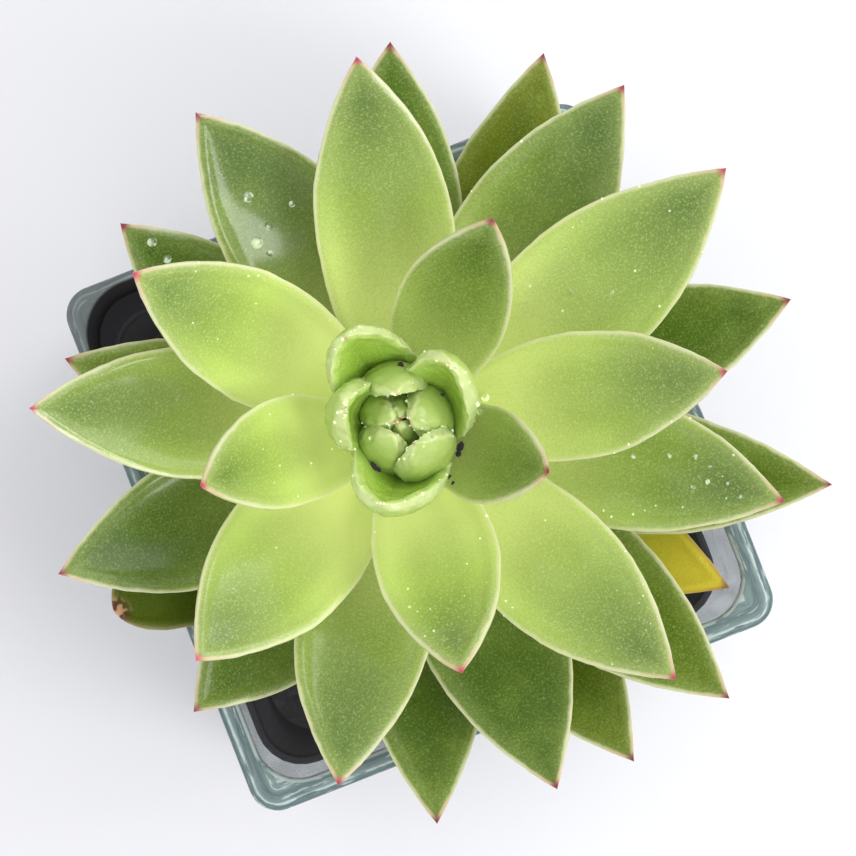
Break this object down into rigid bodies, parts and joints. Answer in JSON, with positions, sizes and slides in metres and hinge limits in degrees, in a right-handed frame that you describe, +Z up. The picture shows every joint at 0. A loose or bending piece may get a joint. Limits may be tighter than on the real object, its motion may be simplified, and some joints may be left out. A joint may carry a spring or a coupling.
{
  "type": "potted echeveria",
  "caption": "Rosette succulent with pointed fleshy leaves and a closed heart, rooted in a black grow pot set inside a thick-walled square glass pot.",
  "frame": {"origin": "centre of the glass pot's flat underside", "axes": "+Z up, X and Y along the sides of the glass pot; the plant's own axis stands a little to the +Y side of the middle"},
  "size_m": [0.1344, 0.1328, 0.1627],
  "materials": {
    "clear_glass": "clear green-tinted cast glass",
    "black_plastic": "smooth black moulded plastic",
    "soil": "loose dark potting soil",
    "stem": "dry brown-green stem",
    "young_leaf": "pale waxy yellow-green leaf",
    "green_leaf": "waxy green leaf, paler margins, crimson point",
    "withered_leaf": "dark green leaf with a dried tan end",
    "yellow_leaf": "yellowed old leaf with a brown point"
  },
  "bodies": {
    "root": {"glass_pot": "clear_glass", "grow_pot": "black_plastic", "heart": "young_leaf", "leaf_01": "green_leaf", "leaf_02": "green_leaf", "leaf_03": "green_leaf", "leaf_04": "green_leaf", "leaf_05": "green_leaf", "leaf_06": "green_leaf", "leaf_07": "green_leaf", "leaf_08": "green_leaf", "leaf_09": "green_leaf", "leaf_10": "green_leaf", "leaf_11": "green_leaf", "leaf_12": "green_leaf", "leaf_13": "green_leaf", "leaf_14": "green_leaf", "leaf_15": "green_leaf", "leaf_16": "green_leaf", "leaf_17": "green_leaf", "leaf_18": "green_leaf", "leaf_19": "green_leaf", "leaf_20": "green_leaf", "leaf_21": "green_leaf", "leaf_22": "green_leaf", "leaf_23": "green_leaf", "leaf_24": "green_leaf", "leaf_25": "green_leaf", "leaf_26": "green_leaf", "leaf_27": "green_leaf", "leaf_28": "withered_leaf", "leaf_29": "green_leaf", "leaf_30": "green_leaf", "leaf_35": "yellow_leaf", "potting_soil": "soil", "stem": "stem"}
  },
  "joints": []
}
